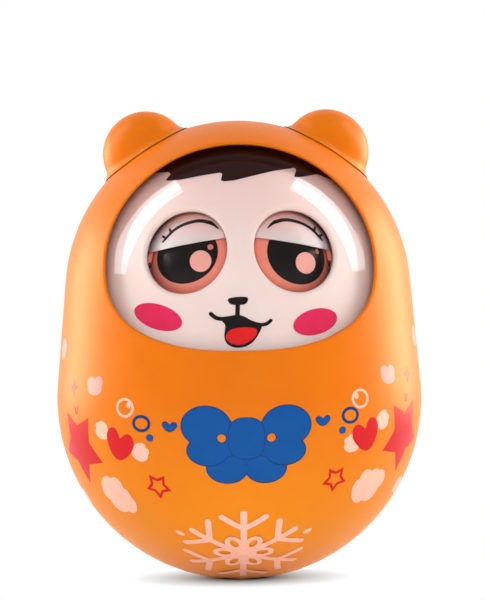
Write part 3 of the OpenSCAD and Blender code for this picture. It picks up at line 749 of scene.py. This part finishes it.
def cushion(half_w, half_h, middle, count=48):
    """A square with round sides and corners."""
    def soft(part):
        return math.copysign(abs(part) ** CUSHION_POWER, part)
    steps = [math.tau * i / count for i in range(count)]
    return [(middle[0] + half_w * soft(math.cos(t)), middle[1] + half_h * soft(math.sin(t))) for t in steps]


HALF_HEART = [(0.24, 0.8), (0.52, 0.98), (0.84, 0.84), (1.0, 0.45), (0.94, 0.02), (0.7, -0.45), (0.42, -0.8),
              (0.16, -0.97)]


def heart(half_w, half_h, tilt):
    """A plump heart with a shallow notch and a round tip."""
    outline = [(0, 0.5)] + HALF_HEART + [(-a, b) for a, b in reversed(HALF_HEART)]
    return turned(smooth_line([(a * half_w, b * half_h) for a, b in outline], closed=True), tilt)


def star(reach, waist, tips=5, tilt=90, squeeze=1.0):
    """A star with straight sides. The waist is its inner radius, and tilt turns its first tip."""
    turns = [math.pi * i / tips for i in range(2 * tips)]
    radii = [reach, waist] * tips
    corners = turned([(r * math.cos(t), r * math.sin(t)) for r, t in zip(radii, turns)], tilt)
    sides = []
    for (a, b), (c, d) in zip(corners, corners[1:] + corners[:1]):
        sides += [(squeeze * (a + (c - a) * k / 3), b + (d - b) * k / 3) for k in range(3)]
    return sides


def puffs(ovals, grow=0.0, middle=(0, 0), count=96):
    """The outline round a bunch of overlapping ovals, each with its middle and half sizes."""
    def reach(turn):
        c, s = math.cos(turn), math.sin(turn)
        best = 0.0
        for a, b, half_w, half_h in ovals:
            half_w, half_h = half_w + grow, half_h + grow
            p, q = (middle[0] - a) / half_w, (middle[1] - b) / half_h
            u, v = c / half_w, s / half_h
            square, cross, rest = u * u + v * v, p * u + q * v, p * p + q * q - 1
            under = cross * cross - square * rest
            if under >= 0:
                best = max(best, (-cross + math.sqrt(under)) / square)
        return best
    turns = [math.tau * i / count for i in range(count)]
    return [(middle[0] + reach(t) * math.cos(t), middle[1] + reach(t) * math.sin(t)) for t in turns]


def smooth_line(points, steps=6, closed=False):
    """A curve through points."""
    count = len(points)

    def at(k):
        return points[k % count] if closed else points[min(max(k, 0), count - 1)]

    def between(p, q, r, w, t):
        return 0.5 * (2 * q + (r - p) * t + (2 * p - 5 * q + 4 * r - w) * t * t
                      + (3 * q - p - 3 * r + w) * t ** 3)

    line = []
    for i in range(count if closed else count - 1):
        axes = list(zip(at(i - 1), at(i), at(i + 1), at(i + 2)))
        line += [tuple(between(*axis, j / steps) for axis in axes) for j in range(steps)]
    return line if closed else line + [tuple(points[-1])]


def stroke(line, start_w, end_w=None, cap=6):
    """The outline of a pen stroke with round ends, whose width runs from one value to another."""
    end_w = start_w if end_w is None else end_w
    last = len(line) - 1
    left, right, ways = [], [], []
    for i in range(last + 1):
        a, b = line[max(i - 1, 0)], line[min(i + 1, last)]
        long = math.hypot(b[0] - a[0], b[1] - a[1])
        way = ((b[0] - a[0]) / long, (b[1] - a[1]) / long)
        half = (start_w + (end_w - start_w) * i / last) / 2
        left.append((line[i][0] - way[1] * half, line[i][1] + way[0] * half))
        right.append((line[i][0] + way[1] * half, line[i][1] - way[0] * half))
        ways.append(math.atan2(way[1], way[0]))

    def end(middle, half, start):
        turns = [start + math.pi * k / cap for k in range(1, cap)]
        return [(middle[0] + half * math.cos(t), middle[1] + half * math.sin(t)) for t in turns]
    return (right + end(line[last], end_w / 2, ways[last] - math.pi / 2)
            + left[::-1] + end(line[0], start_w / 2, ways[0] + math.pi / 2))


# Bunches of ovals, each as its middle and half sizes
FEATHERS = [(0, -1.2, 2.3, 1.9), (-1.4, 0.5, 1.5, 2.4), (0.4, 1.2, 1.5, 2.3), (1.8, 0.2, 1.3, 2.2)]
SMALL_CLOUD = [(-1.8, 0.9, 2.2, 2.0), (1.8, 1.0, 2.1, 2.1), (0, -0.9, 3.7, 2.1)]
LONG_CLOUD = [(-4.0, 0.4, 3.2, 4.9), (-0.7, 1.8, 3.4, 5.2), (2.7, 0.2, 3.3, 4.7), (5.1, -0.8, 2.8, 3.6),
              (0.6, -2.4, 4.2, 4.2)]

# The prints rise a little towards the right, and those within a distance lie a little to the right
PRINT_RISE = 0.025
PRINT_ASIDE, ASIDE_WITHIN = 0.9, 35

BOW_EDGE = 0.4
FLAKE_ARMS = 6


def print_bow(navy, blue, spots):
    """A bow with a knot, two wings and two tails, edged in navy."""
    bow = on_belly(0.8, 47.6)
    for _, side in SIDES:
        tail = [(side * 6.1, -9.4, 6.2, 4.7)]
        wing = [(side * 12.6, 4.0, 7.7, 6.2), (side * 12.2, -3.9, 6.3, 4.5), (side * 7.0, 0.2, 6.0, 5.6)]
        hole = (side * 7.7, 0.5)
        for ink, layer, grow in ((navy, 0, BOW_EDGE), (blue, 1, 0)):
            ink.fill(puffs(tail, grow, (side * 6.1, -9.4)), bow, layer)
            ink.fill(puffs(wing, grow, (side * 11.0, -0.5)), bow, layer + 2)
        navy.fill(oval(1.6, 1.6, hole), bow, 6)
        spots.fill(oval(1.3, 1.3, hole), bow, 7)
    knot = (0, 0.4)
    blue.fill(oval(3.5, 2.0, (0, -6.6)), bow, 0)
    navy.fill(cushion(5.75, 6.65, knot), bow, 4)
    blue.fill(cushion(5.5, 6.4, knot), bow, 5)


def print_side(side, navy, blue, red, pale, shaded_pale):
    """Hearts, rings, stars and clouds on one side of the bow."""
    def at(x, z):
        aside = PRINT_ASIDE if x < ASIDE_WITHIN else 0.0
        return on_belly(side * x + aside, z + side * PRINT_RISE * x)

    navy.fill(heart(2.6, 1.65, side * 4), at(23.8, 52.4), 0)
    blue.fill(heart(2.25, 1.3, side * 4), at(23.8, 52.4), 1)
    navy.band(oval(3.4, 2.7), oval(2.3, 1.75), at(32.6, 53.6))
    blue.fill(oval(1.35, 1.2, count=24), at(30.0, 49.1))
    pale.band(oval(3.5, 3.1), oval(2.6, 2.3), at(36.8, 58.6))
    pale.fill(oval(0.8, 0.95, (-side * 1.5, 0.8), count=16), at(36.8, 58.6))
    red.fill(heart(5.6, 5.0, side * 20), at(38.8, 46.8), 1)
    for x, z, tilt in ((44.2, 51.4, 60), (33.2, 44.6, -75)):
        pale.fill(turned(puffs(FEATHERS), tilt * -side), at(x, z))
    red.fill(star(12.8, 6.9, tilt=90 + side * 43), at(51.8, 46.3))
    small_tilt = 90 + side * 40
    red.band(star(4.7, 2.6, tilt=small_tilt), star(2.9, 1.65, tilt=small_tilt), at(27.6, 33.8))
    red.fill(star(3.2, 1.5, 4, squeeze=0.85), at(53.3, 65.2))
    for k in (0, 1):
        tick = [(side * (k * 1.9 - 1.0), 1.0), (side * (k * 0.8 - 0.5), -1.0)]
        red.fill(stroke(tick, 0.8), at(52.7, 57.9))
    # These pale prints near the edges use the darker, pinker ink: painted shade against the strong side light
    shaded_pale.fill(puffs(SMALL_CLOUD), at(46.4, 65.6))
    pale.fill(turned(puffs(LONG_CLOUD), 33 * side), at(39.8, 30.6))
    shaded_pale.fill(oval(3.4, 3.7), at(56.9, 77.9))
    pale.fill(puffs(SMALL_CLOUD), at(50.6, 29.4))


def print_flake(pale):
    """A snowflake under the bow, with a dot on each side."""
    flake = on_belly(-0.1, 10.9)
    for i in range(FLAKE_ARMS):
        tilt = 360 / FLAKE_ARMS * i
        between = tilt + 180 / FLAKE_ARMS
        pale.fill(turned(stroke([(0, 0), (0, 9.5), (0, 19.0)], 1.9, 2.2), tilt), flake, i)
        for j, (_, side) in enumerate(SIDES):
            branch = stroke([(0, 12.4), (side * 3.6, 14.8), (side * 7.0, 17.2)], 2.0, 2.1)
            pale.fill(turned(branch, tilt), flake, FLAKE_ARMS + j)
        petal = turned([(0, 6.0)], between)[0]
        pale.band(oval(2.7, 3.7, petal, between), oval(1.1, 2.0, petal, between), flake, FLAKE_ARMS + 2)
    for _, side in SIDES:
        pale.fill(oval(1.6, 0.95, count=20, tilt=40 * side), on_belly(side * 20.1, 17.8))


def belly_prints():
    """The prints round the belly, alike on both sides."""
    navy, blue, red, pale, shaded_pale, spots = [Print() for _ in range(6)]
    print_bow(navy, blue, spots)
    for _, side in SIDES:
        print_side(side, navy, blue, red, pale, shaded_pale)
    print_flake(pale)
    navy.finish("navy_print", navy_ink, "orange_plastic")
    blue.finish("blue_print", blue_ink, "orange_plastic")
    red.finish("red_print", red_ink, "orange_plastic")
    pale.finish("pale_print", pale_ink, "orange_plastic")
    shaded_pale.finish("shaded_pale_print", shaded_pale_ink, "orange_plastic")
    spots.finish("bow_holes", orange, "orange_plastic")


# Outlines and lines on the face, in the front view
FRINGE = [(-27.6, 132.3), (-22.2, 132.2), (-21.6, 131.4), (-23.1, 129.5), (-22.6, 129.2), (-18.5, 129.3),
          (-12.0, 130.4), (-6.0, 131.3), (-5.2, 130.9), (-5.7, 128.7), (-4.6, 128.3), (-1.4, 128.6),
          (5.0, 130.2), (11.0, 131.7), (17.9, 132.9), (18.5, 132.2), (17.7, 129.9), (18.4, 129.6),
          (21.5, 130.1), (25.4, 131.0), (31.6, 128.9)]
HAIR_START, HAIR_SPAN, HAIR_STEPS, HAIR_PAST_EDGE = 42, 88, 30, 1.7
NOSE = [(-4.25, 90.5), (-3.8, 91.25), (-1.2, 91.65), (1.3, 91.6), (2.0, 91.1), (1.8, 90.1), (1.0, 89.35),
        (-0.3, 89.15), (-2.2, 89.15), (-3.5, 89.5)]
NOSE_STEM = [(-1.2, 89.6), (-1.3, 87.6), (-1.4, 85.4)]
LIPS = [(-9.6, 86.5), (-8.1, 85.3), (-6.3, 84.9), (-3.8, 85.15), (-1.4, 85.5), (0.7, 84.9), (2.5, 83.9),
        (5.2, 83.0), (7.4, 83.1), (9.0, 84.2)]
JAW = [(-6.2, 84.5), (-5.2, 82.9), (-5.4, 80.9), (-5.5, 79.2), (-4.8, 77.3), (-3.1, 76.2), (-1.1, 75.9),
       (1.4, 76.4), (3.6, 77.9), (5.2, 80.2), (6.1, 82.5), (4.4, 83.2), (2.4, 84.0), (0.6, 85.0),
       (-1.4, 85.6), (-3.8, 85.2)]
TONGUE = [(-5.0, 79.7), (-3.5, 81.5), (0.3, 82.2), (3.8, 81.9), (4.7, 80.6), (3.6, 78.8), (1.4, 77.35),
          (-1.1, 76.75), (-3.7, 77.4), (-4.9, 78.7)]


def face_prints():
    """Hair, nose, mouth with tongue, and cheeks of the animal face."""
    hair, dark, cheeks, tongue = [Print() for _ in range(4)]
    turns = [math.radians(HAIR_START + HAIR_SPAN * i / HAIR_STEPS) for i in range(HAIR_STEPS + 1)]
    crown = [face_edge(turn, HAIR_PAST_EDGE) for turn in turns]
    hair.fill(FRINGE + crown, on_face)
    dark.fill(smooth_line(NOSE, closed=True), on_face, 0)
    dark.fill(stroke(smooth_line(NOSE_STEM), 1.4), on_face, 1)
    dark.fill(stroke(smooth_line(LIPS), 1.3, 1.1), on_face, 2)
    dark.fill(smooth_line(JAW, closed=True), on_face, 3)
    tongue.fill(smooth_line(TONGUE, closed=True), on_face, 5)
    cheeks.fill(oval(7.8, 3.9, (-26.0, 85.8), -18.8), on_face)
    cheeks.fill(oval(7.2, 4.0, (23.0, 83.6), 14), on_face)
    hair.finish("hair_print", hair_ink, "pink_plastic")
    dark.finish("nose_and_mouth_print", black_ink, "pink_plastic")
    cheeks.finish("cheek_print", cheek_ink, "pink_plastic")
    tongue.finish("tongue_print", tongue_ink, "pink_plastic")


# Places on the eyeballs by side, as lines from the ball's centre
IRIS_LINES = {-1: (-6.95, -16.3, 5.05), 1: (8.1, -16.0, 4.35)}
GLINT_LINES = {-1: (-2.45, -18.12, 2.05), 1: (10.52, -15.06, 1.13)}
SPARK_LINES = {-1: (0.71, -17.24, 6.4), 1: (14.14, -10.77, 4.76)}
GLINT_HALF_W = {-1: 3.4, 1: 3.9}
GLINT_HALF_H, SPARK_R = 3.4, 0.95
IRIS_HALF_W, IRIS_HALF_H, IRIS_ASIDE = 11.3, 10.1, 1.1

# Lines on the lids, from the lid's centre outwards. On both lids they are shifted to the right
LASH_LINE = [(0, 14.1), (3.6, 14.8), (8.2, 13.8), (11.6, 11.9), (14.0, 9.5), (15.0, 8.4)]
LASH_TAIL = [(-2.3, 12.2), (-1.2, 13.3), (0, 14.1)]
LASH_HAIRS = [[(12.4, 11.2), (12.8, 12.4)], [(14.1, 9.5), (15.0, 10.2)]]
LASH_ASIDE = 0.9


def eye_prints():
    """Irises with their glints on the eyeballs, and lashes on the lids."""
    for name, side in SIDES:
        iris, glints, sparks, lashes = [Print(EYE_FINE_EDGE) for _ in range(4)]
        iris_outline = oval(IRIS_HALF_W, IRIS_HALF_H, (side * IRIS_ASIDE, 0), count=64)
        iris.fill(iris_outline, on_ball(side, IRIS_LINES[side]))
        glints.fill(oval(GLINT_HALF_W[side], GLINT_HALF_H), on_ball(side, GLINT_LINES[side]), 2)
        sparks.fill(oval(SPARK_R, SPARK_R, count=24), on_ball(side, SPARK_LINES[side]), 2)
        lid, aside = on_lid(side), side * LASH_ASIDE
        lashes.fill(stroke(smooth_line(shifted(LASH_LINE, aside)), 1.25, 0.6), lid, 0)
        lashes.fill(stroke(smooth_line(shifted(LASH_TAIL, aside)), 0.4, 1.25), lid, 1)
        for hair_line in LASH_HAIRS:
            lashes.fill(stroke(shifted(hair_line, aside), 1.0, 0.7, 4), lid, 2)
        iris.finish(name + "_iris", black_ink, "salmon_plastic")
        glints.finish(name + "_glint", glint_ink, "salmon_plastic")
        sparks.finish(name + "_spark", salmon, "salmon_plastic")
        lashes.finish(name + "_lashes", black_ink, "lid_plastic", "eyelids")


belly_prints()
face_prints()
eye_prints()


# Floor, light and camera

FLOOR_R = 4000
FLOOR_PALE, FLOOR_PAINTED_SHADOW = (0.9, 0.9, 0.91, 1), (0.2, 0.24, 0.25, 1)
FLOOR_ROUGHNESS = 0.85
FLOOR_FADE = (0.008, 0.036)


def studio_floor():
    """A pale floor, shown white away from the toy. The camera sees it painted grey close under the toy: a
    painted contact shadow.
    """
    bm = bmesh.new()
    bmesh.ops.create_circle(bm, cap_ends=True, segments=96, radius=FLOOR_R)
    floor = new_object(bm, "studio_floor")
    s = Shader("pale_floor")
    path = s.node("ShaderNodeLightPath")
    # Camera rays see the floor in the painted shadow's grey; other rays see the pale floor
    s.link(s.blend(path.outputs["Is Camera Ray"], FLOOR_PALE, FLOOR_PAINTED_SHADOW), s.body.inputs["Base Color"])
    s.body.inputs["Roughness"].default_value = FLOOR_ROUGHNESS
    far = s.node("ShaderNodeVectorMath", operation="LENGTH")
    s.link(s.place, far.inputs[0])
    seen = s.reckon("MAXIMUM", path.outputs["Is Camera Ray"], path.outputs["Is Glossy Ray"])
    seen = s.reckon("MAXIMUM", seen, path.outputs["Is Transmission Ray"])
    share = s.reckon("MULTIPLY", s.spread(far.outputs["Value"], 0, 1, *FLOOR_FADE), seen)
    s.show_both(share, s.body.outputs["BSDF"], s.node("ShaderNodeEmission").outputs["Emission"])
    floor.data.materials.append(s.material)


ROOM_LIGHT = 0.33
MIRRORED_FRONT, MIRRORED_BACK = 0.12, 1
BACK_FADE = (0.25, 0.6)


def studio_world():
    """A pale room: white behind the toy for the camera and in mirrored light, dim in front of it."""
    world = bpy.data.worlds.new("studio")
    world.use_nodes = True
    room = NodeTree(world.node_tree)
    light = room.tree.nodes["Background"]
    light.inputs["Color"].default_value = (1, 1, 1, 1)
    path = room.node("ShaderNodeLightPath")
    way = room.node("ShaderNodeSeparateXYZ")
    room.link(room.node("ShaderNodeTexCoord").outputs["Generated"], way.inputs["Vector"])
    mirrored = room.reckon("MAXIMUM", path.outputs["Is Glossy Ray"], path.outputs["Is Transmission Ray"])
    level = room.node("ShaderNodeMix")
    room.link(mirrored, level.inputs["Factor"])
    level.inputs["A"].default_value = ROOM_LIGHT
    room.link(room.spread(way.outputs["Y"], MIRRORED_FRONT, MIRRORED_BACK, *BACK_FADE), level.inputs["B"])
    shown = room.reckon("MAXIMUM", level.outputs["Result"], path.outputs["Is Camera Ray"])
    room.link(shown, light.inputs["Strength"])
    scene.world = world


WARM = (1, 0.88, 0.55)


def soft_light(name, place, aim, size, watts, colour=(1, 1, 1), mirrored=True):
    """A rectangular studio lamp, which can be kept out of mirrored light."""
    lamp = bpy.data.lights.new(name, "AREA")
    lamp.shape = "RECTANGLE"
    lamp.size, lamp.size_y = size
    lamp.energy = watts
    lamp.color = colour
    holder = bpy.data.objects.new(name, lamp)
    holder.visible_glossy = mirrored
    holder.location = place
    holder.rotation_euler = (Vector(aim) - Vector(place)).to_track_quat("-Z", "Y").to_euler()
    scene.collection.objects.link(holder)


PHOTO_HEIGHT_PX = 600
FOCAL_PX = 2575
SENSOR_MM = 24


def photo_camera():
    """A camera at the photograph's place: nearly level, close to the front, turned by a hair."""
    rise, round_, roll = math.radians(-0.7), math.radians(-1.33), math.radians(-0.8)
    distance, aim = 850 * MM, Vector((1.65, 0, 91.3)) * MM
    back = Vector((math.sin(round_) * math.cos(rise), -math.cos(round_) * math.cos(rise), math.sin(rise)))
    level = Vector((math.cos(round_), math.sin(round_), 0))
    upright = back.cross(level)
    right = level * math.cos(roll) + upright * math.sin(roll)
    up = upright * math.cos(roll) - level * math.sin(roll)
    camera = bpy.data.cameras.new("photo_camera")
    camera.sensor_fit = "VERTICAL"
    camera.sensor_height = SENSOR_MM
    camera.lens = FOCAL_PX / PHOTO_HEIGHT_PX * SENSOR_MM
    holder = bpy.data.objects.new("photo_camera", camera)
    holder.matrix_world = Matrix((right, up, back)).transposed().to_4x4()
    holder.location = aim + back * distance
    scene.collection.objects.link(holder)
    scene.camera = holder


studio_floor()
studio_world()
soft_light("front_box", place=(0, -1.3, 0.35), aim=(0, 0, 0.09), size=(1.0, 0.8), watts=10.3, mirrored=False)
for lamp_side, rim_watts, rim_height in ((-1, 9, 0.12), (1, 9.5, 0.2)):
    soft_light("tall_box", place=(lamp_side * 0.75, 0.06, 0.69), aim=(0, 0.06, 0.3), size=(0.21, 0.95),
               watts=5)
    soft_light("rim_box", place=(lamp_side * 0.78, 0.42, rim_height), aim=(0, 0, 0.08), size=(0.5, 0.6),
               watts=rim_watts, colour=WARM)
photo_camera()
